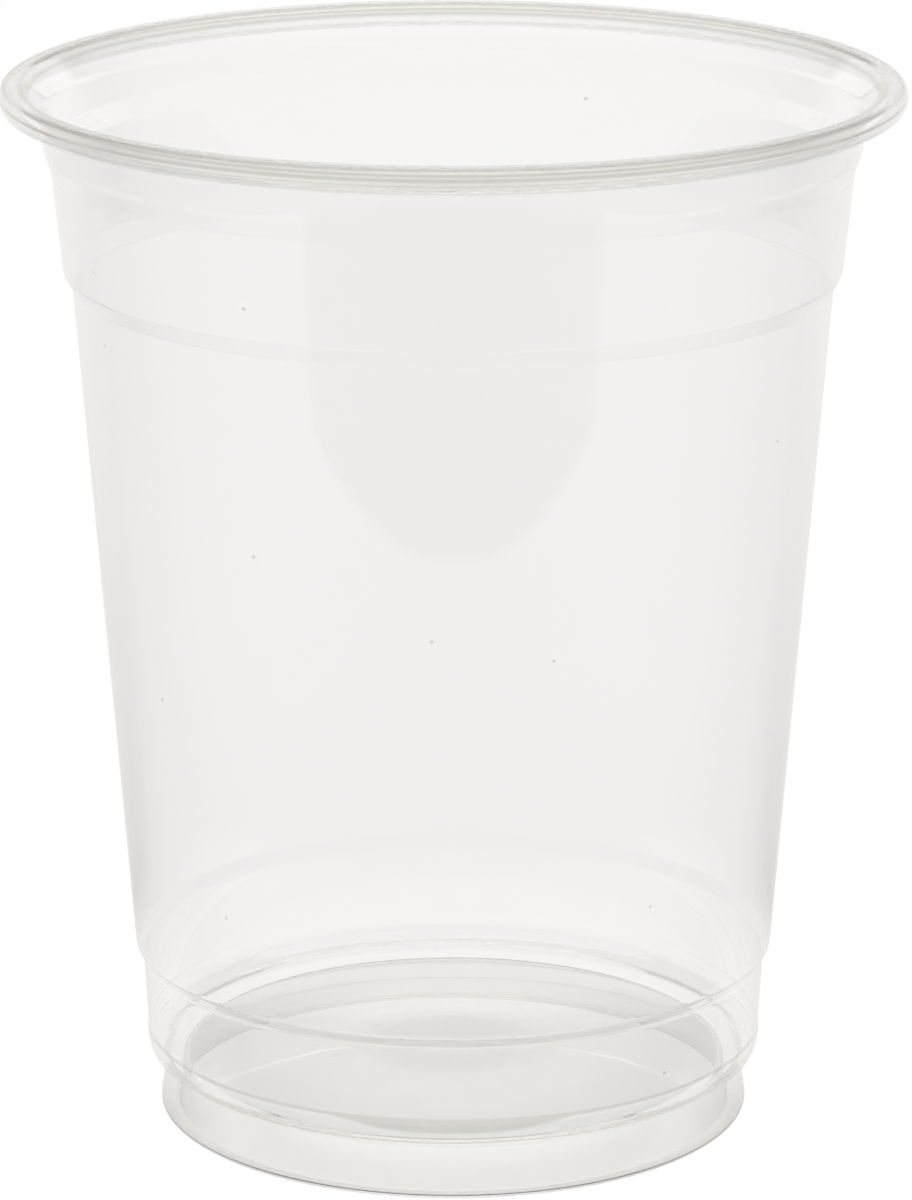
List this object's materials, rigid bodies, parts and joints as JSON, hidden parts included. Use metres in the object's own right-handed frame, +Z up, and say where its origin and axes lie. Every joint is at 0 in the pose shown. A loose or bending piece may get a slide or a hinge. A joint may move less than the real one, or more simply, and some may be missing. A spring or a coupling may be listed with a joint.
{
  "type": "disposable cup",
  "caption": "Clear disposable drinking cup for cold drinks, tapered and thin-walled, with a rolled rim, a stacking shoulder, a stepped lower band and a set-in foot.",
  "frame": {"origin": "on the table under the middle of the base, at the centre of the standing ring", "axes": "+Z up along the cup's axis of revolution, X and Y across the round body"},
  "size_m": [0.095, 0.095, 0.1128],
  "materials": {
    "clear_plastic": "clear glossy thermoformed sheet, faintly milky where it is stretched"
  },
  "bodies": {
    "root": {"cup": "clear_plastic"}
  },
  "joints": []
}
